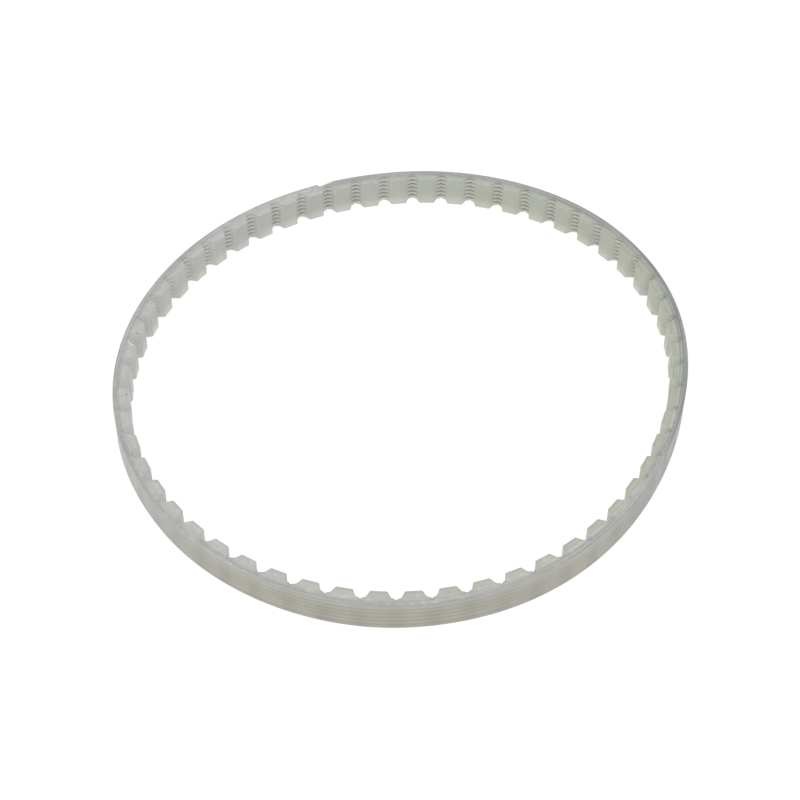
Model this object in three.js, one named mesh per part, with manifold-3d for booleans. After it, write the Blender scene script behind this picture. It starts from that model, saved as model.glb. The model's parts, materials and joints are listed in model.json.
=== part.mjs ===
// Endless toothed drive belt: cast polyurethane with trapezoidal teeth on the inside and two steel
// tension cords wound side by side. The belt stands on one edge; its axis is +Z and its lower edge is z = 0.
// One rigid segment per tooth: neighbouring segments turn about the cord plane in the middle of the gap
// between two teeth, where the real web is thinnest and bends. Millimetres and degrees.
import * as THREE from 'three';
import { mergeVertices } from 'three/addons/utils/BufferGeometryUtils.js';
import Module from 'manifold-3d';

// Driving dimensions.
const TEETH = 56;
const PITCH = 10;
const WIDTH = 10;
const TOOTH_HEIGHT = 2.5;
const TIP_WIDTH = 5;
const FLANK_ANGLE = 25; // each flank, from the tooth's centre line
const ROOT_FILLET = 1.2;
const FLOOR_OVER_CORD = 0.9; // gap floor to the cord plane
const BACK_UNDER_CORD = 1.6; // cord plane to the back
const NOTCH_DEPTH = 0.3; // winding notch in the gap floor
const NOTCH_HALF_WIDTH = 0.5;
const HINGE_CLEARANCE = 0.16; // each segment stops this far short of its hinge axis

const CORD_DIAMETER = 0.9;
const CORD_SPACING = 1.6; // centre to centre, across the belt
const CORD_COUNT = 2; // one of each lay, side by side
const CORD_SIDES = 6;
const CORD_EDGE = 0.8; // belt edge to the centre of a cord's end
const CHANNEL_SIZE = 1.04;

// The belt's free shape is a ring pressed a little towards its two-pulley shape.
const PULLEY_TEETH = 16;
const SQUEEZE_AT_REST = 0.0753;
const FIRST_WRAP_HINGE = 7;
const RING_TURN = -0.43; // turns the whole ring about its axis

const WRAP_HINGES = PULLEY_TEETH / 2;
const HALF_LOOP = TEETH / 2;
const ROUND_TURN = 360 / TEETH;
const WRAP_TURN = 360 / PULLEY_TEETH;
const rad = THREE.MathUtils.degToRad;

const wasm = await Module();
wasm.setup();

const polyurethane = new THREE.MeshStandardMaterial({ color: 0xb5b7ac, roughness: 0.45, metalness: 0 });
const steel = new THREE.MeshStandardMaterial({ color: 0x6f7274, roughness: 0.4, metalness: 0.9 });

// The turn from segment k - 1 to segment k, at hinge k.
function restTurn(k) {
  const inWrap = (k - FIRST_WRAP_HINGE + TEETH) % HALF_LOOP < WRAP_HINGES;
  const goal = inWrap ? WRAP_TURN : 0;
  return ROUND_TURN + SQUEEZE_AT_REST * (goal - ROUND_TURN);
}

// Each segment's direction of travel, anticlockwise seen from +Z. The segment in the middle of the
// first wrapped stretch lies square to the ring's long axis.
function segmentHeadings() {
  const middle = FIRST_WRAP_HINGE + WRAP_HINGES / 2 - 1;
  const headings = new Array(TEETH);
  headings[middle] = (middle + 0.5) * ROUND_TURN + 90 + RING_TURN;
  for (let i = 1; i < TEETH; i++) {
    const k = (middle + i) % TEETH;
    headings[k] = headings[(k + TEETH - 1) % TEETH] + restTurn(k);
  }
  return headings;
}

// Hinge k is the start of segment k. The loop is centred on the origin.
function hingePoints(headings) {
  const points = [new THREE.Vector3()];
  for (let k = 0; k < TEETH - 1; k++) {
    const a = rad(headings[k]);
    points.push(new THREE.Vector3(Math.cos(a), Math.sin(a), 0).multiplyScalar(PITCH).add(points[k]));
  }
  const centre = points.reduce((sum, p) => sum.add(p), new THREE.Vector3()).divideScalar(TEETH);
  return points.map((p) => p.clone().sub(centre));
}

// Side view of one segment: x along the belt from the tooth's centre, y towards the inside of the loop,
// y = 0 at the cord plane.
function segmentOutline() {
  const end = PITCH / 2 - HINGE_CLEARANCE;
  const floor = FLOOR_OVER_CORD;
  const tip = floor + TOOTH_HEIGHT;
  const flank = rad(FLANK_ANGLE);
  const base = TIP_WIDTH / 2 + TOOTH_HEIGHT * Math.tan(flank);
  const reach = ROOT_FILLET * Math.tan(rad(90 - FLANK_ANGLE) / 2);
  const middle = (Math.PI - flank) / 2 + Math.PI / 2;
  const centre = { x: base + reach, y: floor + ROOT_FILLET };
  const right = [
    [end, -BACK_UNDER_CORD],
    [end, floor - NOTCH_DEPTH],
    [PITCH / 2 - NOTCH_HALF_WIDTH, floor],
    [base + reach, floor],
    [centre.x + ROOT_FILLET * Math.cos(-middle), centre.y + ROOT_FILLET * Math.sin(-middle)],
    [base - reach * Math.sin(flank), floor + reach * Math.cos(flank)],
    [TIP_WIDTH / 2, tip],
  ];
  const left = right.map(([x, y]) => [-x, y]).reverse();
  return new THREE.Shape([...right, ...left].map(([x, y]) => new THREE.Vector2(x, y)));
}

function toManifold(geometry) {
  const bare = geometry.clone();
  bare.deleteAttribute('normal');
  bare.deleteAttribute('uv');
  const merged = mergeVertices(bare);
  const vertProperties = new Float32Array(merged.attributes.position.array);
  const triVerts = new Uint32Array(merged.index.array);
  return new wasm.Manifold(new wasm.Mesh({ numProp: 3, vertProperties, triVerts }));
}

function toGeometry(solid) {
  const mesh = solid.getMesh();
  const geometry = new THREE.BufferGeometry();
  geometry.setAttribute('position', new THREE.BufferAttribute(mesh.vertProperties, 3));
  geometry.setIndex(new THREE.BufferAttribute(mesh.triVerts, 1));
  geometry.computeVertexNormals();
  return geometry;
}

const LEAD = CORD_COUNT * CORD_SPACING; // how far a cord climbs in one turn of the belt
const CLIMB = LEAD / TEETH; // and in one pitch
const CORD_PITCHES = Math.floor((WIDTH - 2 * CORD_EDGE) / CLIMB);

// A cord starts at a hinge, at the lower edge, and climbs the same height in every segment.
function cordStart(cord) {
  return cord * HALF_LOOP;
}

function cordHeight(step) {
  return CORD_EDGE + CLIMB * step;
}

// Straight channels for every cord turn that passes through segment k.
function channels(k) {
  const found = [];
  for (let cord = 0; cord < CORD_COUNT; cord++) {
    const first = (k - cordStart(cord) + TEETH) % TEETH;
    for (let step = first; step < CORD_PITCHES; step += TEETH) {
      const box = new THREE.BoxGeometry(PITCH + 2, CHANNEL_SIZE, CHANNEL_SIZE);
      box.rotateY(-Math.atan2(CLIMB, PITCH));
      box.translate(0, 0, cordHeight(step + 0.5));
      found.push(toManifold(box));
    }
  }
  return found;
}

function segmentGeometry(k) {
  const blank = new THREE.ExtrudeGeometry(segmentOutline(), { depth: WIDTH, bevelEnabled: false });
  let solid = toManifold(blank);
  for (const channel of channels(k)) {
    solid = solid.subtract(channel);
  }
  return toGeometry(solid);
}

function toothSegment(k, hinges, headings) {
  const mesh = new THREE.Mesh(segmentGeometry(k), polyurethane);
  mesh.name = `tooth_segment_${String(k + 1).padStart(2, '0')}`;
  const next = hinges[(k + 1) % TEETH];
  mesh.position.copy(hinges[k]).add(next).multiplyScalar(0.5);
  mesh.rotation.z = rad(headings[k]);
  return mesh;
}

// The line of a cord: straight through each segment, bending at the hinges.
class CordLine extends THREE.Curve {
  constructor(cord, hinges) {
    super();
    this.first = cordStart(cord);
    this.hinges = hinges;
  }

  corner(step) {
    const point = this.hinges[(this.first + step) % TEETH].clone();
    point.z = cordHeight(step);
    return point;
  }

  getPoint(t, target = new THREE.Vector3()) {
    const along = t * CORD_PITCHES;
    const step = Math.min(Math.floor(along), CORD_PITCHES - 1);
    return target.lerpVectors(this.corner(step), this.corner(step + 1), along - step);
  }
}

function cordSection() {
  const corners = [];
  for (let i = 0; i < CORD_SIDES; i++) {
    const a = (2 * Math.PI * i) / CORD_SIDES;
    corners.push(new THREE.Vector2(Math.cos(a), Math.sin(a)).multiplyScalar(CORD_DIAMETER / 2));
  }
  return new THREE.Shape(corners);
}

function tensionCord(cord, name, hinges) {
  const extrudePath = new CordLine(cord, hinges);
  const geometry = new THREE.ExtrudeGeometry(cordSection(), { steps: CORD_PITCHES, extrudePath });
  const mesh = new THREE.Mesh(geometry, steel);
  mesh.name = name;
  return mesh;
}

const group = new THREE.Group();
const headings = segmentHeadings();
const hinges = hingePoints(headings);
for (let k = 0; k < TEETH; k++) {
  group.add(toothSegment(k, hinges, headings));
}
group.add(tensionCord(0, 's_lay_cord', hinges));
group.add(tensionCord(1, 'z_lay_cord', hinges));

export default group;
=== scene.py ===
"""A cast polyurethane toothed belt, standing on its edge on a pale studio floor.

The visible belt is one piece per tooth gap, from the middle of one tooth to the middle of the next,
so that each piece curves across one hinge of the frame. Lengths are in millimetres until a mesh is made.
"""

import json
import math

import bpy
import numpy as np
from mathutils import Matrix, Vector


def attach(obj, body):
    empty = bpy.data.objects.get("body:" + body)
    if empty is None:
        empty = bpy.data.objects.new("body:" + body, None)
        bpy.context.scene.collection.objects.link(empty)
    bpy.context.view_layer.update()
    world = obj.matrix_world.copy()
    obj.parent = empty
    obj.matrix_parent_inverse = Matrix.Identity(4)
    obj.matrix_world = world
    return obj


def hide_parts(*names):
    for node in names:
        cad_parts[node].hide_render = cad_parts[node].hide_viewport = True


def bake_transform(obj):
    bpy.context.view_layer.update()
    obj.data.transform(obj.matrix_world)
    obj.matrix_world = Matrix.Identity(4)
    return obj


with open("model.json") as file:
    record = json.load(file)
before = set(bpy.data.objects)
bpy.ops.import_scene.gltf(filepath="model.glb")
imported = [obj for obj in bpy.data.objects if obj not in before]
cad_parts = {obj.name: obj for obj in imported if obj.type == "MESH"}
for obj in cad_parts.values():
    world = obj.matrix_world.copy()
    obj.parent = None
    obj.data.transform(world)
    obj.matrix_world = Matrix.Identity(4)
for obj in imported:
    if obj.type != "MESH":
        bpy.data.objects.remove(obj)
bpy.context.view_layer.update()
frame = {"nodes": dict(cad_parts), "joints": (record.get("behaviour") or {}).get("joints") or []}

MM = 0.001

# The belt's section.
WIDTH = 10.0
PITCH = 10.0
TOOTH_HEIGHT = 2.5
TIP_WIDTH = 5.0
FLANK = math.radians(25)
ROOT_FILLET = 1.2
TIP_ROUND = 0.34
FLOOR = 0.9  # gap floor, inward of the cord plane
BACK = -1.6
EDGE_ROUND = 0.16
NOTCH_HALF = 0.8
NOTCH_DEPTH = 0.3
NOTCH_AT_EDGE = 0.18  # the notch is this much deeper where it comes out of a cut edge
NOTCH_EDGE_REACH = 0.8  # how far from a cut edge the notch is deeper

# The steel cords.
CORD_RADIUS = 0.45
CORD_SPACING = 1.6
CORD_EDGE = 0.8
CORD_COUNT = 2
CORD_LOBES = 6
CORD_TWIST = 6.5  # the strand's lay length
CORD_VALLEY = 0.14  # depth of the valleys between its wires, as a share of its radius
GROOVE_HALF = 0.42
GROOVE_DEPTH = 0.12
GROOVE_REACH = 1.9  # how far a groove runs each side of the gap's middle
GROOVE_FADES_FROM = 0.9
GROOVE_AT_MIDDLE = 0.3  # depth in the gap's middle, as a share of the full depth
GROOVE_FULL_FROM = 0.8
GROOVE_BOW = 0.07  # how much higher a groove stands at its ends
GROOVE_BOW_REACH = 1.5

# Free of its pulleys the belt lies a little egg-shaped: (bulges round the loop, height, turn).
FREE_SHAPE = [(3, 1.1, math.radians(129.6)), (4, 0.66, math.radians(95.6))]

TEETH = sum(1 for name in frame["nodes"] if name.startswith("tooth_segment_"))
HALF_LOOP = TEETH // 2
CLIMB = CORD_COUNT * CORD_SPACING / TEETH
CORD_PITCHES = math.floor((WIDTH - 2 * CORD_EDGE) / CLIMB)


def segment_name(k):
    return f"tooth_segment_{k % TEETH + 1:02d}"


def hinge_name(k):
    return f"bend_{k % TEETH + 1:02d}"


def lying_free(points):
    """Moves points of the frame's ring onto the free belt's line, without stretching the belt."""
    angle = np.arctan2(points[:, 1], points[:, 0])
    outward = np.stack([np.cos(angle), np.sin(angle)], axis=-1)
    forward = np.stack([-np.sin(angle), np.cos(angle)], axis=-1)
    moved = points.copy()
    for bulges, height, turn in FREE_SHAPE:
        wave = (bulges * angle - turn)[:, None]
        moved += height * np.cos(wave) * outward - height / bulges * np.sin(wave) * forward
    return moved


class BeltLine:
    """The belt's cord plane seen from above: the frame's hinge points, joined by smooth arcs."""

    def __init__(self):
        places = {j["name"]: j["pos_m"] for j in frame["joints"]}
        missing = [k for k in range(TEETH) if hinge_name(k) not in places]
        self.open_hinge = missing[0]
        points = np.zeros((TEETH, 2))
        for k in range(TEETH):
            if k != self.open_hinge:
                points[k] = np.array(places[hinge_name(k)][:2]) / MM
        points[self.open_hinge] = -points[(self.open_hinge + HALF_LOOP) % TEETH]
        points = lying_free(points)
        following = np.roll(points, -1, axis=0)
        self.middles = (points + following) / 2
        travel = following - points
        self.headings = np.arctan2(travel[:, 1], travel[:, 0])

    def turn(self, k):
        change = self.headings[k % TEETH] - self.headings[(k - 1) % TEETH]
        return (change + math.pi) % (2 * math.pi) - math.pi

    def arc(self, k, share):
        """A share of the arc across hinge k: (x, y) of its end from its start, and its direction."""
        turn = self.turn(k)
        radius = PITCH / 2 / math.tan(turn / 2)
        start = self.headings[(k - 1) % TEETH]
        angle = start + turn * share
        x = radius * (np.sin(angle) - math.sin(start))
        y = radius * (math.cos(start) - np.cos(angle))
        return np.stack([x, y], axis=-1), angle

    def at(self, k, s, n):
        """Points s along the belt from hinge k and n inward of the cord plane, as (x, y)."""
        start = self.middles[(k - 1) % TEETH]
        share = np.asarray((s + PITCH / 2) / PITCH)
        way, angle = self.arc(k, share)
        # The arc ends a few microns from the next middle, and closes that on the way.
        missed = self.middles[k % TEETH] - start - self.arc(k, 1.0)[0]
        inward = np.stack([-np.sin(angle), np.cos(angle)], axis=-1)
        return start + way + missed * share[..., None] + inward * np.asarray(n)[..., None]


LINE = BeltLine()


def cord_heights(k):
    """Turns of cord at hinge k: (cord number, height, goes on before the hinge, goes on after it)."""
    found = []
    for cord in range(CORD_COUNT):
        first = (k - cord * HALF_LOOP) % TEETH
        for step in range(first, CORD_PITCHES + 1, TEETH):
            found.append((cord, CORD_EDGE + CLIMB * step, step > 0, step < CORD_PITCHES))
    return found


# ---------------------------------------------------------------- the belt body


def smooth(x):
    x = np.clip(x, 0, 1)
    return x * x * (3 - 2 * x)


def gap_profile(s):
    """How far inward the belt's toothed side stands, s from the middle of a tooth gap."""
    s = np.abs(s)
    base = (PITCH - TIP_WIDTH) / 2 - TOOTH_HEIGHT * math.tan(FLANK)
    reach = ROOT_FILLET * math.tan((math.pi / 2 - FLANK) / 2)
    centre = base - reach
    tip = FLOOR + TOOTH_HEIGHT
    fillet = FLOOR + ROOT_FILLET - np.sqrt(np.maximum(ROOT_FILLET**2 - (s - centre) ** 2, 0))
    flank = FLOOR + (s - base) / math.tan(FLANK)
    fillet_end = base + reach * math.sin(FLANK)
    rise = np.where(s < centre, FLOOR, np.where(s < fillet_end, fillet, flank))
    # A rounded corner where the flank meets the land, as a smooth minimum.
    gap = np.clip((tip - rise) / TIP_ROUND, -1, 1)
    corner = TIP_ROUND * (1 - gap) ** 2 / 4
    lower = np.minimum(rise, tip)
    return np.where(np.abs(tip - rise) < TIP_ROUND, lower - corner, lower)


def bow(s):
    """How much higher a groove stands s from its gap's middle, where clear rubber bends the view."""
    return GROOVE_BOW * smooth(np.abs(s) / GROOVE_BOW_REACH)


def floor_relief(k, s, z):
    """How far the gap floor lies below the plain profile: the notch, and a groove over each cord."""
    from_edge = np.minimum(z, WIDTH - z)
    notch = NOTCH_DEPTH + NOTCH_AT_EDGE * (1 - smooth(from_edge / NOTCH_EDGE_REACH))
    notch = notch * (1 - smooth(np.abs(s) / NOTCH_HALF))
    lift = CLIMB * s / PITCH + bow(s)
    over_cord = np.zeros(np.broadcast(s, z).shape)
    for _, height, _, _ in cord_heights(k):
        off = np.abs(z - height - lift) / GROOVE_HALF
        over_cord = np.maximum(over_cord, 1 - smooth(off))
    # A groove is deepest beside the notch and fades out up the flanks.
    beside = GROOVE_AT_MIDDLE + (1 - GROOVE_AT_MIDDLE) * smooth(np.abs(s) / GROOVE_FULL_FROM)
    faded = 1 - smooth((np.abs(s) - GROOVE_FADES_FROM) / (GROOVE_REACH - GROOVE_FADES_FROM))
    return notch + GROOVE_DEPTH * over_cord * beside * faded


# Grid lines of the body. Along half a pitch, from the gap's middle: close together in the gap.
ALONG = [0, 0.12, 0.26, 0.4, 0.54, 0.66, 0.8, 0.95, 1.1, 1.25, 1.4, 1.55, 1.7]
ALONG += [1.9, 2.14, 2.36, 2.46, 2.56, 2.7, 3.1, 3.7, 4.35, PITCH / 2]
# Across a cut edge, as shares of the way from the back to the teeth.
SIDE_SHARES = [1, 0.95, 0.88, 0.78, 0.6, 0.4, 0.2, 0.08, 0]
# Above and below the middle of each cord, and the least distance between two such lines.
OVER_CORD = [0, 0.1, 0.2, 0.31, 0.42, 0.6]
LEAST_STEP = 0.04
BACK_ROWS = 14
CORNER_STEPS = 3


def mirrored(places):
    return sorted({-v for v in places} | set(places))


def columns(low, high):
    """The places of the grid lines along the pitch that lie between two others."""
    return np.array([v for v in mirrored(ALONG) if low <= v <= high])


def inner_heights(k):
    """Heights of the toothed side's grid lines around hinge k: close together over each cord."""
    low, high = EDGE_ROUND, WIDTH - EDGE_ROUND
    lines = [height + step for _, height, _, _ in cord_heights(k) for step in mirrored(OVER_CORD)]
    inside = sorted(z for z in lines if low + 0.05 < z < high - 0.05)
    kept = [low]
    for z in inside + [high]:
        if z - kept[-1] > LEAST_STEP:
            kept.append(z)
    return kept


def section_loop(k):
    """One turn round the belt's section: (height, share of the way from back to teeth, corner inset)."""
    r = EDGE_ROUND
    bends = [math.pi / 2 * i / CORNER_STEPS for i in range(1, CORNER_STEPS)]
    inner = [(z, 1, 0.0) for z in inner_heights(k)]
    top_in = [(WIDTH - r + r * math.sin(a), 1, r * (1 - math.cos(a))) for a in bends]
    top = [(WIDTH, share, r * (2 * share - 1)) for share in SIDE_SHARES]
    top_out = [(z, 0, -inset) for z, _, inset in reversed(top_in)]
    back = [(z, 0, 0.0) for z in np.linspace(WIDTH - r, r, BACK_ROWS)]
    lower_out = [(WIDTH - z, share, inset) for z, share, inset in reversed(top_out)]
    lower = [(0.0, share, inset) for _, share, inset in reversed(top)]
    lower_in = [(WIDTH - z, share, inset) for z, share, inset in reversed(top_in)]
    return inner + top_in + top + top_out + back + lower_out + lower + lower_in


def body_surface(k, low, high):
    """Body points between two places along the pitch around hinge k, and facts for the material."""
    s = columns(low, high)[:, None]
    z, share, inset = (np.array(v)[None, :] for v in zip(*section_loop(k)))
    deep = gap_profile(s) - floor_relief(k, s, z)
    n = np.where(share > 0, share * deep + (1 - share) * BACK, BACK) - inset
    n, z, fresh = wear(k, s, n, z)
    s_full = np.broadcast_to(s, n.shape)
    xy = LINE.at(k, s_full, n)
    points = np.concatenate([xy, np.broadcast_to(z, n.shape)[..., None]], axis=-1)
    way_round = 2 * math.pi * (k + s_full / PITCH) / TEETH
    facts = {
        "gap": np.abs(s_full),
        "depth": n,
        "from_teeth": deep - n,
        "lift": CORD_EDGE + CLIMB * (k + s_full / PITCH) + np.where(share > 0.5, bow(s_full), 0),
        "way": (k + s_full / PITCH) / TEETH % 1.0,
        "round_x": np.cos(way_round),
        "round_y": np.sin(way_round),
        "fresh": fresh,
    }
    return points, facts


# Scuffs on the outer edges: (hinge, deep end along, far end along, depth, at the top edge).
SCUFFS = [(17, 2.3, -3.0, 0.5, True)]
SCUFF_STEP = 0.12  # the deep end's slope, as a share of the scuff's length
SCUFF_FLAT = 0.1  # at full depth from the edge
SCUFF_DOWN = 1.1
SCUFF_IN = 1.3
SCUFF_FRESH = 1.6


def wear(k, s, n, z):
    """Bites out of the back's edges: new n and z, and how fresh the surface is."""
    fresh = np.zeros(np.broadcast(s, n).shape)
    z = np.broadcast_to(z, n.shape).copy()
    for hinge, start, end, deep, top in SCUFFS:
        if hinge != k:
            continue
        share = (s - start) / (end - start)
        near = smooth(share / SCUFF_STEP + 0.5) * np.clip(1 - share, 0, 1)
        edge = WIDTH if top else 0.0
        at_edge = 1 - smooth((np.abs(z - edge) - SCUFF_FLAT) / SCUFF_DOWN)
        at_back = 1 - smooth((n - BACK - SCUFF_FLAT) / SCUFF_IN)
        bite = near * at_edge * at_back
        z = z + bite * deep * (-1 if top else 1)
        n = n + bite * deep
        fresh = np.maximum(fresh, np.clip(bite * SCUFF_FRESH, 0, 1))
    return n, z, fresh


def grid_mesh(name, points, facts):
    """A tube mesh from a grid of points: rows run along the belt, columns run round the section."""
    rows, round_count = points.shape[:2]
    index = np.arange(rows * round_count).reshape(rows, round_count)
    following = np.roll(index, -1, axis=1)
    quads = np.stack([index[:-1], following[:-1], following[1:], index[1:]], axis=-1).reshape(-1, 4)
    faces = [tuple(int(i) for i in q) for q in quads]
    faces.append(tuple(int(i) for i in index[0][::-1]))
    faces.append(tuple(int(i) for i in index[-1]))
    mesh = bpy.data.meshes.new(name)
    mesh.from_pydata((points.reshape(-1, 3) * MM).tolist(), [], faces)
    mesh.polygons.foreach_set("use_smooth", [True] * len(mesh.polygons))
    for key, values in facts.items():
        layer = mesh.attributes.new(key, "FLOAT", "POINT")
        layer.data.foreach_set("value", values.astype(np.float32).ravel())
    place = mesh.attributes.new("place", "FLOAT_VECTOR", "POINT")
    place.data.foreach_set("vector", (points.reshape(-1, 3) * MM).astype(np.float32).ravel())
    mark_end_edges(mesh, set(index[0].tolist()), set(index[-1].tolist()))
    obj = bpy.data.objects.new(name, mesh)
    bpy.context.scene.collection.objects.link(obj)
    return obj


def mark_end_edges(mesh, first, last):
    """Sharp edges round the end faces keep the shading of neighbouring pieces continuous."""
    sharp = mesh.attributes.new("sharp_edge", "BOOLEAN", "EDGE")
    flags = []
    for edge in mesh.edges:
        a, b = edge.vertices
        flags.append((a in first and b in first) or (a in last and b in last))
    sharp.data.foreach_set("value", flags)


def join_to_frame(obj, nodes):
    """Bakes obj's placement into its mesh and hides the given CAD nodes, which it stands for."""
    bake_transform(obj)
    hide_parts(*nodes)


def body_piece(k, material):
    reach = PITCH / 2
    if k == LINE.open_hinge:
        sides = [("a", -reach, 0.0, k - 1), ("b", 0.0, reach, k)]
        for letter, low, high, body in sides:
            points, facts = body_surface(k, low, high)
            obj = grid_mesh(f"belt_body_{k + 1:02d}{letter}", points, facts)
            obj.data.materials.append(material)
            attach(obj, segment_name(body))
            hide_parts(segment_name(body))
        return
    points, facts = body_surface(k, -reach, reach)
    obj = grid_mesh(f"belt_body_{k + 1:02d}", points, facts)
    obj.data.materials.append(material)
    join_to_frame(obj, [segment_name(k - 1), segment_name(k)])


# ---------------------------------------------------------------- the steel cords

CORD_SIDES = 18
CORD_STEPS = 14
CORD_NAMES = ["s_lay_cord", "z_lay_cord"]


def cord_stretch(k, cord, height, low, high):
    """A stretch of stranded cord near hinge k, as a grid of points."""
    steps = max(2, round(CORD_STEPS * (high - low) / PITCH))
    s = np.linspace(low, high, steps + 1)[:, None]
    a = (2 * math.pi * np.arange(CORD_SIDES) / CORD_SIDES)[None, :]
    lay = 1 if cord == 0 else -1  # S and Z, which twist opposite ways
    twist = lay * 2 * math.pi * (k * PITCH + s) / CORD_TWIST
    valley = np.abs(np.sin((a + twist) * CORD_LOBES / 2))
    radius = CORD_RADIUS * (1 - CORD_VALLEY + CORD_VALLEY * np.sqrt(valley))
    n = radius * np.cos(a)
    z = height + CLIMB * s / PITCH + radius * np.sin(a)
    xy = LINE.at(k, np.broadcast_to(s, n.shape), n)
    return np.concatenate([xy, z[..., None]], axis=-1)


def joined(name, parts):
    """One object from several."""
    context = {"active_object": parts[0], "selected_editable_objects": parts}
    with bpy.context.temp_override(**context):
        bpy.ops.object.join()
    parts[0].name = name
    return parts[0]


def cord_piece(k, cord, low, high, suffix, material):
    """Every turn of one cord near hinge k, between two places along the pitch, as one object."""
    parts = []
    for number, height, before, after in cord_heights(k):
        start = low if before else max(low, 0.0)
        stop = high if after else min(high, 0.0)
        if number == cord and stop > start:
            points = cord_stretch(k, cord, height, start, stop)
            parts.append(grid_mesh(f"{CORD_NAMES[cord]}_part", points, {}))
    obj = joined(f"{CORD_NAMES[cord]}_{k + 1:02d}{suffix}", parts)
    obj.data.materials.append(material)
    return obj


def cords(k, material):
    reach = PITCH / 2
    for cord in range(CORD_COUNT):
        if k == LINE.open_hinge:
            for letter, low, high, body in [("a", -reach, 0.0, k - 1), ("b", 0.0, reach, k)]:
                obj = cord_piece(k, cord, low, high, letter, material)
                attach(obj, segment_name(body))
                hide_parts(CORD_NAMES[cord])
        else:
            obj = cord_piece(k, cord, -reach, reach, "", material)
            join_to_frame(obj, [CORD_NAMES[cord]])


# ---------------------------------------------------------------- materials

STREAKS_UP = 2.2  # how fast streaks change with height


class Shader:
    """Short calls for building one material's nodes."""

    def __init__(self, name):
        self.material = bpy.data.materials.new(name)
        self.material.use_nodes = True
        self.tree = self.material.node_tree
        self.principled = self.tree.nodes["Principled BSDF"]

    def node(self, kind, **settings):
        made = self.tree.nodes.new(kind)
        for key, value in settings.items():
            setattr(made, key, value)
        return made

    def put(self, value, socket):
        if isinstance(value, bpy.types.NodeSocket):
            self.tree.links.new(value, socket)
        else:
            socket.default_value = value

    def math(self, operation, a, b=0.0, c=0.0):
        made = self.node("ShaderNodeMath", operation=operation)
        for value, socket in zip((a, b, c), made.inputs):
            self.put(value, socket)
        return made.outputs[0]

    def fact(self, name):
        made = self.node("ShaderNodeAttribute", attribute_name=name)
        return made.outputs["Fac"]

    def vector(self, name):
        made = self.node("ShaderNodeAttribute", attribute_name=name)
        return made.outputs["Vector"]

    def ramp(self, value, low, high, from_value=0.0, to_value=1.0):
        """A smooth step from from_value to to_value as value goes from low to high."""
        made = self.node("ShaderNodeMapRange", interpolation_type="SMOOTHSTEP")
        for item, socket in zip((value, low, high, from_value, to_value), made.inputs):
            self.put(item, socket)
        return made.outputs["Result"]

    def noise(self, scale, detail=3.0, roughness=0.5):
        made = self.node("ShaderNodeTexNoise")
        self.put(self.vector("place"), made.inputs["Vector"])
        made.inputs["Scale"].default_value = scale
        made.inputs["Detail"].default_value = detail
        made.inputs["Roughness"].default_value = roughness
        return made.outputs["Fac"]

    def streaks(self, z, depth, around, across):
        """Noise drawn out along the belt, which closes on itself round the loop."""
        made = self.node("ShaderNodeTexNoise", noise_dimensions="4D")
        place = self.node("ShaderNodeCombineXYZ")
        self.put(self.math("MULTIPLY", self.fact("round_x"), around), place.inputs[0])
        self.put(self.math("MULTIPLY", self.fact("round_y"), around), place.inputs[1])
        self.put(self.math("MULTIPLY", depth, across), place.inputs[2])
        self.put(place.outputs[0], made.inputs["Vector"])
        self.put(self.math("MULTIPLY", z, STREAKS_UP), made.inputs["W"])
        made.inputs["Scale"].default_value = 1.0
        made.inputs["Detail"].default_value = 3.0
        return made.outputs["Fac"]

    def tones(self, value, stops, full):
        """Colours at heights, with a straight change from one to the next."""
        made = self.node("ShaderNodeValToRGB")
        ramp = made.color_ramp
        for _ in range(len(stops) - 2):
            ramp.elements.new(0.5)
        for element, (place, code) in zip(ramp.elements, stops):
            element.position = place / full
            element.color = colour(code)
        self.put(self.math("DIVIDE", value, full), made.inputs[0])
        return made.outputs[0]

    def round_loop(self, stops):
        """A value from 0 to 1 that changes round the loop."""
        return self.tones(self.fact("way"), [(way / TEETH, grey(share)) for way, share in stops], 1.0)

    def mix(self, share, a, b):
        made = self.node("ShaderNodeMix", data_type="RGBA")
        self.put(share, made.inputs[0])
        self.put(a, made.inputs[6])
        self.put(b, made.inputs[7])
        return made.outputs[2]

    def product(self, first, *others):
        made = first
        for other in others:
            made = self.math("MULTIPLY", made, other)
        return made

    def scaled(self, shade, factor):
        made = self.node("ShaderNodeVectorMath", operation="SCALE")
        self.put(shade, made.inputs[0])
        self.put(factor, made.inputs["Scale"])
        return made.outputs[0]

    def distance(self, point):
        """How far the surface is from a point of the belt, in millimetres."""
        made = self.node("ShaderNodeVectorMath", operation="DISTANCE")
        self.put(self.vector("place"), made.inputs[0])
        made.inputs[1].default_value = [v * MM for v in point]
        return self.math("DIVIDE", made.outputs["Value"], MM)

    def bump(self, height, distance, strength, under=None):
        made = self.node("ShaderNodeBump")
        made.inputs["Strength"].default_value = strength
        made.inputs["Distance"].default_value = distance
        self.put(height, made.inputs["Height"])
        if under is not None:
            self.put(under, made.inputs["Normal"])
        return made.outputs[0]


def colour(code):
    """Linear RGBA from a hex colour."""
    parts = [int(code[i : i + 2], 16) / 255 for i in (0, 2, 4)]
    linear = [p / 12.92 if p <= 0.04045 else ((p + 0.055) / 1.055) ** 2.4 for p in parts]
    return (*linear, 1.0)


# Colours of the milky polyurethane at heights above the floor, as the studio's light brings them out.
BACK_TONES = [(0.6, "a4a298"), (2.5, "aba99d"), (4.2, "a9a699"), (6.5, "a9a89d")]
BACK_TONES += [(8.0, "acaba2"), (9.6, "b0b0aa")]
TOOTH_TONES = [(0.4, "c4c5be"), (1.5, "bfc1b6"), (2.8, "b6b8ac"), (4.0, "afb1a7")]
TOOTH_TONES += [(7.0, "acafa6"), (9.6, "aeb1a9")]
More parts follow.
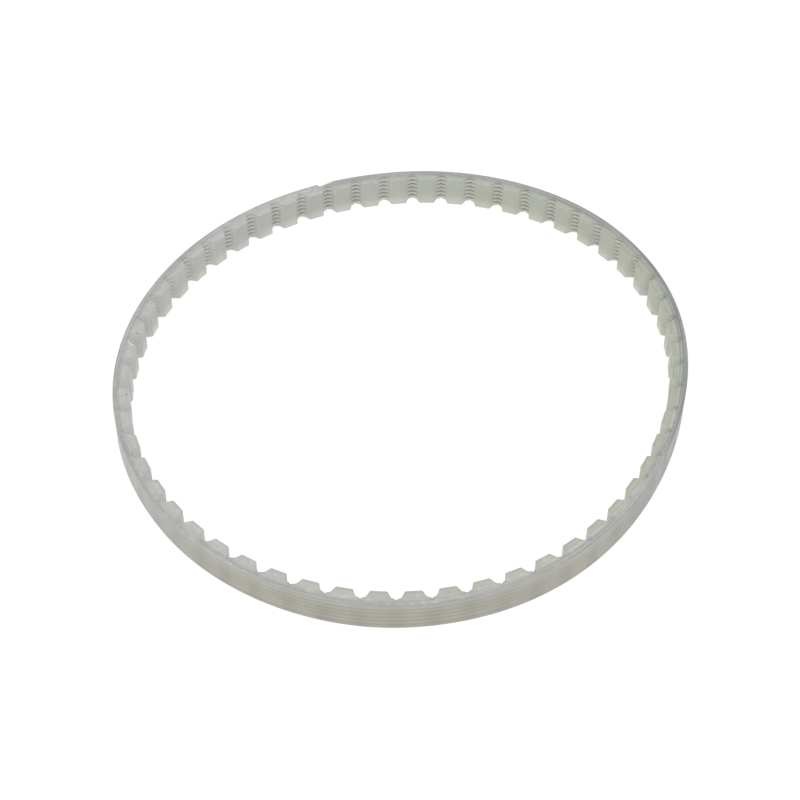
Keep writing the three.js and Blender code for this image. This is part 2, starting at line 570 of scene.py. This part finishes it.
# The belt's two cut edges, web and teeth: clear where the saw ran clean, whitish where it tore.
CLEAR_WEB = "979a98"
CLEAR_TOOTH = "aaaea3"
TORN_WEB = "b4b4b1"
TORN_TOOTH = "babbb5"
# Painted light: the pale tone of the gaps between the teeth, where light comes through them.
GAP_LIGHT_TONE = "b5b7b4"
STREAK = "cdcfcb"
FRESH_CUT = "d3d9dd"
# The back away from the front, left and right, with painted light: lighter on the left and darker on the
# right, as if lit from the front left.
LEFT_BACK_LIT = "aaaba6"
RIGHT_BACK_SHADED = "9a9b98"
# The teeth are a little warmer on the right and milkier on the left.
LEFT_TINT = (1.035, 1.03, 1.08)
RIGHT_TINT = (1.0, 1.01, 0.94)
# How torn the cut edge is, and how clear the cords stand out, at places round the loop, in teeth.
TORN = [(0, 0.1), (5, 0.05), (9, 0.3), (14, 0.4), (16.9, 0.42), (17.2, 1), (19, 0.95), (23, 0.65)]
TORN += [(28, 0.7), (33, 0.6), (37, 0.75), (42, 0.65), (47, 0.75), (51, 0.45), (56, 0.1)]
STRIPES_SEEN = [(0, 0.5), (33, 0.35), (37, 0.6), (40, 1), (44, 1), (47, 0.6), (51, 0.4), (56, 0.5)]
CORDS_SEEN = [(0, 0.4), (3, 0.6), (6, 1), (21, 1), (24, 0.5), (28, 0.35), (32, 0.5), (36, 1), (50, 1)]
CORDS_SEEN += [(56, 0.4)]

# How much darker each of these makes the rubber, as a share.
THIN_WEB_SHADE = 0.09
OUTLINE_SHADE = 0.08
GAP_RIM_SHADE = 0.15
SMUDGED_RIM_SHADE = 0.12
BACK_RIM_SHADE = 0.16
FOOT_SHADE = 0.12
STRIPE_SHADE = 0.16
DASH_SHADE = (0.5, 0.4)  # in the gap's middle and at its sides
SMUDGE_SHADE = 0.22

# A dash of cord seen in a gap: half its length, half its height and how soft it is above and below.
DASH_REACH = 2.1
DASH_HALF = 0.38
DASH_SOFT = 0.2

CUT_FROM = 0.03  # this near to the top or the bottom, a cut edge has its full tone
# Painted light: how far a gap turns to its pale tone of light coming through.
GAP_LIGHT_SHARE = 0.35  # how far a gap turns to GAP_LIGHT_TONE
GAP_GLOW = (0.24, 0.35)  # at the foot of the teeth and in the gap's middle
GLOW_DIMMED = 0.75  # by a full smudge

# Surfaces: roughness from smoothest to roughest, and the height of the grain and of soft waves, in metres.
RUBBER_ROUGH = (0.38, 0.52)
GRAIN_HEIGHT = 0.00004
WAVE_HEIGHT = 0.0002
WIRE_ROUGH = (0.35, 0.55)
WIRE_DARK = "5d5f5e"
WIRE_LIGHT = "757779"

# Small marks on the cut edge: (hinge, place along, place inward, radius, colour).
MARKS = [
    (27, -2.8, 2.4, 0.42, "6a6c67"),
    (29, 4.6, 2.6, 0.36, "62645c"),
    (27, 0.4, 0.3, 0.4, "cfd1ce"),
    (27, 1.2, 0.7, 0.42, "d6d8d5"),
    (27, 1.9, 1.2, 0.46, "dcdedb"),
    (27, 2.5, 1.7, 0.46, "dcdedb"),
    (27, 2.8, 2.3, 0.36, "d4d6d2"),
    (29, 2.8, 0.5, 0.9, "bec0bc"),
    (30, -4.0, 0.7, 0.9, "bdbfbb"),
    (30, 3.2, 0.8, 0.9, "bfc0c3"),
    (36, -2.6, -1.2, 0.34, "d8dbdb"),
    (36, -1.9, -0.9, 0.3, "d0d3d2"),
    (37, 1.8, -1.1, 0.34, "d3d6d6"),
]


def grey(share):
    """Hex colour whose linear value is a share from 0 to 1."""
    encoded = share * 12.92 if share <= 0.0031308 else 1.055 * share ** (1 / 2.4) - 0.055
    return f"{round(encoded * 255):02x}" * 3


def on_back(sh, depth):
    return sh.ramp(depth, -1.2, -1.55)


def darker(sh, body, shade):
    return sh.scaled(body, sh.math("SUBTRACT", 1.0, shade))


def belt_tones(sh, x, z, depth, gap):
    """Thick teeth scatter more light than the thin web behind them, most of all near the floor."""
    back = sh.tones(z, BACK_TONES, WIDTH)
    # Painted light round the loop: away from the front, the back turns lighter on the left and darker on
    # the right.
    side = sh.mix(sh.ramp(x, -60.0, 60.0), colour(LEFT_BACK_LIT), colour(RIGHT_BACK_SHADED))
    back = sh.mix(sh.ramp(sh.math("ABSOLUTE", x), 48.0, 78.0), back, side)
    tooth = sh.tones(z, TOOTH_TONES, WIDTH)
    body = sh.mix(sh.ramp(depth, -1.3, 0.6), back, tooth)
    behind_gap = sh.product(on_back(sh, depth), sh.ramp(gap, 3.4, 0.8), THIN_WEB_SHADE)
    behind_gap = sh.math("MULTIPLY", behind_gap, sh.ramp(z, 9.8, 5.0, 0.5, 1.0))
    return darker(sh, body, behind_gap)


def side_tint(sh, body, x, depth):
    """The teeth's tint, which changes slowly from the left of the loop to the right."""
    tint = sh.mix(sh.ramp(x, -90.0, 90.0), (*LEFT_TINT, 1.0), (*RIGHT_TINT, 1.0))
    tint = sh.mix(sh.ramp(depth, 0.0, 1.2), (1.0, 1.0, 1.0, 1.0), tint)
    made = sh.node("ShaderNodeVectorMath", operation="MULTIPLY")
    sh.put(body, made.inputs[0])
    sh.put(tint, made.inputs[1])
    return made.outputs[0]


def cut_edge_tones(sh, x, y, z, depth):
    """The sawn top and bottom edges, with streaks along the belt that the saw left."""
    torn = sh.round_loop(TORN)
    # Clear rubber shifts the view of the teeth's foot: inward at the rear, outward at the front.
    foot = sh.math("ADD", 0.55, sh.math("MULTIPLY", y, 0.0085))
    inward = sh.ramp(sh.math("SUBTRACT", depth, foot), -0.65, 0.65)
    clear = sh.mix(inward, colour(CLEAR_WEB), colour(CLEAR_TOOTH))
    rough = sh.mix(inward, colour(TORN_WEB), colour(TORN_TOOTH))
    body = sh.mix(torn, clear, rough)
    streaks = sh.ramp(sh.streaks(z, depth, 14.0, 2.2), 0.52, 0.74)
    mottle = sh.ramp(sh.noise(600.0, 4.0, 0.65), 0.47, 0.7)
    whitish = sh.math("ADD", sh.math("MULTIPLY", torn, 0.5), 0.1)
    patchy = sh.math("MULTIPLY", sh.math("MAXIMUM", streaks, mottle), whitish)
    body = sh.mix(patchy, body, colour(STREAK))
    # Long lines in the web, clearest on the right.
    lines = sh.math("SUBTRACT", sh.ramp(sh.streaks(z, depth, 3.0, 1.7), 0.3, 0.7), 0.55)
    in_web = sh.ramp(depth, 0.0, 1.6, 0.25, 0.08)
    on_right = sh.ramp(x, 30.0, 75.0, 1.0, 2.2)
    uneven = sh.math("MULTIPLY", lines, sh.math("MULTIPLY", in_web, on_right))
    return sh.scaled(body, sh.math("ADD", 1.0, uneven))


def edge_shade(sh, cut_side, from_teeth, depth, gap, smudged, y, z):
    """How much the belt darkens along its outlines, where light bends away."""
    line = sh.math("MULTIPLY", sh.ramp(from_teeth, 0.2, 0.45), sh.ramp(from_teeth, 1.0, 0.6))
    line = sh.product(line, OUTLINE_SHADE, sh.ramp(y, 20.0, -40.0))
    rim = sh.product(sh.ramp(from_teeth, 1.5, 0.2), sh.ramp(gap, 1.8, 0.5))
    rim = sh.math("MULTIPLY", rim, sh.math("MULTIPLY_ADD", smudged, SMUDGED_RIM_SHADE, GAP_RIM_SHADE))
    back = sh.product(sh.ramp(depth, -1.1, -1.35), BACK_RIM_SHADE, sh.ramp(y, -40.0, 0.0))
    on_cut = sh.math("MULTIPLY", cut_side, sh.math("MAXIMUM", sh.math("MAXIMUM", line, rim), back))
    foot = sh.product(sh.ramp(z, 0.35, 0.1), sh.ramp(from_teeth, 0.4, 0.2), FOOT_SHADE)
    return sh.math("MAXIMUM", on_cut, foot)


def cord_shade(sh, z, gap, depth):
    """How much the cords darken the rubber: stripes through the back, dashes in the gap floor."""
    turns = sh.math("DIVIDE", sh.math("SUBTRACT", z, sh.fact("lift")), CORD_SPACING)
    off = sh.math("MULTIPLY", sh.math("PINGPONG", turns, 0.5), CORD_SPACING)
    inside = sh.math("MULTIPLY", sh.ramp(z, 0.4, 0.8), sh.ramp(z, 9.9, 9.4))
    stripe = sh.product(sh.ramp(off, 0.5, 0.05), inside, on_back(sh, depth), STRIPE_SHADE)
    stripe = sh.math("MULTIPLY", stripe, sh.round_loop(STRIPES_SEEN))
    reach = sh.math("POWER", sh.math("DIVIDE", gap, DASH_REACH), 2.0)
    lens = sh.math("SQRT", sh.math("MAXIMUM", sh.math("SUBTRACT", 1.0, reach), 0.0))
    half = sh.math("MULTIPLY", lens, DASH_HALF)
    dash = sh.ramp(off, sh.math("ADD", half, DASH_SOFT), sh.math("SUBTRACT", half, DASH_SOFT))
    in_gap = sh.math("MULTIPLY", sh.ramp(depth, 0.0, 0.15), sh.ramp(gap, 2.0, 1.3))
    strength = sh.math("MULTIPLY", sh.ramp(gap, 0.2, 1.8, *DASH_SHADE), sh.round_loop(CORDS_SEEN))
    return sh.math("MAXIMUM", stripe, sh.product(dash, inside, in_gap, strength))


def gap_light(sh, body, z, gap, in_gap, at_side, smudged):
    """The gaps between the teeth fill with light that comes through them."""
    body = sh.mix(sh.math("MULTIPLY", in_gap, GAP_LIGHT_SHARE), body, colour(GAP_LIGHT_TONE))
    fades_from = sh.math("MULTIPLY_ADD", at_side, 0.68, 9.2)
    glow = sh.product(in_gap, sh.ramp(gap, 2.2, 0.9, *GAP_GLOW), sh.ramp(z, 9.98, fades_from))
    dimmed = sh.product(smudged, sh.ramp(gap, 2.2, 0.8), GLOW_DIMMED)
    glow = sh.product(glow, sh.ramp(z, 0.0, 6.0, 0.2, 1.0), sh.math("SUBTRACT", 1.0, dimmed))
    return sh.scaled(body, sh.math("ADD", 1.0, glow))


def marked(sh, body):
    """The colour where the belt is scuffed or has a small mark."""
    body = sh.mix(sh.math("MULTIPLY", sh.fact("fresh"), 0.8), body, colour(FRESH_CUT))
    for hinge, along, inward, radius, code in MARKS:
        point = (*LINE.at(hinge, along, inward), WIDTH)
        near = sh.ramp(sh.distance(point), radius, radius * 0.35)
        body = sh.mix(near, body, colour(code))
    return body


def rubber_colour(sh):
    place = sh.node("ShaderNodeSeparateXYZ")
    sh.put(sh.vector("place"), place.inputs[0])
    x, y, z = (sh.math("DIVIDE", output, MM) for output in place.outputs)
    gap = sh.fact("gap")
    depth = sh.fact("depth")
    from_teeth = sh.fact("from_teeth")
    at_top = sh.ramp(z, WIDTH - EDGE_ROUND, WIDTH - CUT_FROM)
    cut_side = sh.math("MAXIMUM", at_top, sh.ramp(z, EDGE_ROUND, CUT_FROM))
    in_gap = sh.product(sh.ramp(from_teeth, 0.2, 0.0), sh.ramp(gap, 2.8, 2.2), sh.ramp(depth, -0.1, 0.1))
    # Left and above all right in the loop, the cords behind a gap run together into one dark smudge.
    at_side = sh.ramp(sh.math("ABSOLUTE", sh.fact("round_x")), 0.78, 0.95)
    smudged = sh.math("MULTIPLY", at_side, sh.ramp(x, -80.0, 80.0, 0.2, 1.0))
    smudge = sh.product(in_gap, smudged, sh.ramp(gap, 1.5, 0.3), SMUDGE_SHADE)

    body = belt_tones(sh, x, z, depth, gap)
    body = sh.mix(cut_side, body, cut_edge_tones(sh, x, y, z, depth))
    body = side_tint(sh, body, x, depth)
    body = gap_light(sh, body, z, gap, in_gap, at_side, smudged)
    body = darker(sh, body, edge_shade(sh, cut_side, from_teeth, depth, gap, smudged, y, z))
    body = darker(sh, body, smudge)
    body = darker(sh, body, cord_shade(sh, z, gap, depth))
    clouds = sh.ramp(sh.noise(140.0), 0.3, 0.7, 0.97, 1.03)
    return marked(sh, sh.scaled(body, clouds))


def polyurethane():
    sh = Shader("cast_polyurethane")
    sh.put(rubber_colour(sh), sh.principled.inputs["Base Color"])
    sh.put(sh.ramp(sh.noise(220.0), 0.25, 0.8, *RUBBER_ROUGH), sh.principled.inputs["Roughness"])
    grain = sh.bump(sh.noise(900.0, 4.0, 0.6), GRAIN_HEIGHT, 0.5)
    waves = sh.bump(sh.noise(120.0, 2.0), WAVE_HEIGHT, 0.3, grain)
    sh.put(waves, sh.principled.inputs["Normal"])
    sh.principled.inputs["Specular IOR Level"].default_value = 0.4
    sh.principled.inputs["IOR"].default_value = 1.48
    return sh.material


def steel_wire():
    sh = Shader("stranded_steel")
    tone = sh.noise(1500.0)
    base = sh.mix(sh.ramp(tone, 0.3, 0.7), colour(WIRE_DARK), colour(WIRE_LIGHT))
    sh.put(base, sh.principled.inputs["Base Color"])
    sh.put(sh.ramp(tone, 0.3, 0.8, *WIRE_ROUGH), sh.principled.inputs["Roughness"])
    sh.principled.inputs["Metallic"].default_value = 0.8
    return sh.material


# ---------------------------------------------------------------- studio


# The studio, in metres and watts. Lamps: (name, place, size, power).
FLOOR_HALF = 12.0
FLOOR_GLOW = 0.94
SKY_GLOW = 0.9
LAMPS = [("overhead", (0.0, 0.15, 1.1), 1.0, 1.2), ("front_left", (-0.9, -0.9, 0.7), 0.9, 1.0)]


def light_table():
    mesh = bpy.data.meshes.new("studio_floor")
    half = FLOOR_HALF
    corners = [(-half, -half, 0), (half, -half, 0), (half, half, 0), (-half, half, 0)]
    mesh.from_pydata(corners, [], [(0, 1, 2, 3)])
    floor = bpy.data.objects.new("studio_floor", mesh)
    bpy.context.scene.collection.objects.link(floor)
    sh = Shader("light_table")
    sh.principled.inputs["Base Color"].default_value = (0.1, 0.1, 0.1, 1)
    sh.principled.inputs["Roughness"].default_value = 0.9
    sh.principled.inputs["Specular IOR Level"].default_value = 0.1
    sh.principled.inputs["Emission Color"].default_value = (1, 1, 1, 1)
    sh.principled.inputs["Emission Strength"].default_value = FLOOR_GLOW
    mesh.materials.append(sh.material)


def floor_and_light():
    """A white light table under an even white sky, with soft lamps overhead and front left."""
    light_table()
    world = bpy.data.worlds.new("studio")
    world.use_nodes = True
    world.node_tree.nodes["Background"].inputs["Color"].default_value = (1, 1, 1, 1)
    world.node_tree.nodes["Background"].inputs["Strength"].default_value = SKY_GLOW
    bpy.context.scene.world = world

    for lamp in LAMPS:
        area_light(*lamp)


def area_light(name, place, size, power):
    """A lamp that shines at the middle of the loop."""
    data = bpy.data.lights.new(name, "AREA")
    data.size = size
    data.energy = power
    obj = bpy.data.objects.new(name, data)
    obj.location = place
    obj.rotation_euler = (-Vector(place)).to_track_quat("-Z", "Y").to_euler()
    bpy.context.scene.collection.objects.link(obj)


CAMERA_AZIMUTH = math.radians(0.06)
CAMERA_ELEVATION = math.radians(45.97)
CAMERA_DISTANCE = 576.8
CAMERA_TARGET = (-1.28, -6.54, 0.0)
CAMERA_ROLL = math.radians(-0.4)
CAMERA_LENS = 84.27
CAMERA_SENSOR = 36


def camera():
    data = bpy.data.cameras.new("camera")
    data.lens = CAMERA_LENS
    data.sensor_width = CAMERA_SENSOR
    data.clip_start, data.clip_end = 0.01, 20
    obj = bpy.data.objects.new("camera", data)
    level = math.cos(CAMERA_ELEVATION)
    x = level * math.sin(CAMERA_AZIMUTH)
    y = -level * math.cos(CAMERA_AZIMUTH)
    back = Vector((x, y, math.sin(CAMERA_ELEVATION)))
    obj.location = (Vector(CAMERA_TARGET) + back * CAMERA_DISTANCE) * MM
    turned = (-back).to_track_quat("-Z", "Y").to_matrix().to_4x4()
    obj.rotation_euler = (turned @ turned.Rotation(-CAMERA_ROLL, 4, "Z")).to_euler()
    bpy.context.scene.collection.objects.link(obj)
    bpy.context.scene.camera = obj


def main():
    camera()
    floor_and_light()
    bpy.context.scene.view_settings.view_transform = "Standard"
    rubber = polyurethane()
    steel = steel_wire()
    for k in range(TEETH):
        body_piece(k, rubber)
        cords(k, steel)


main()
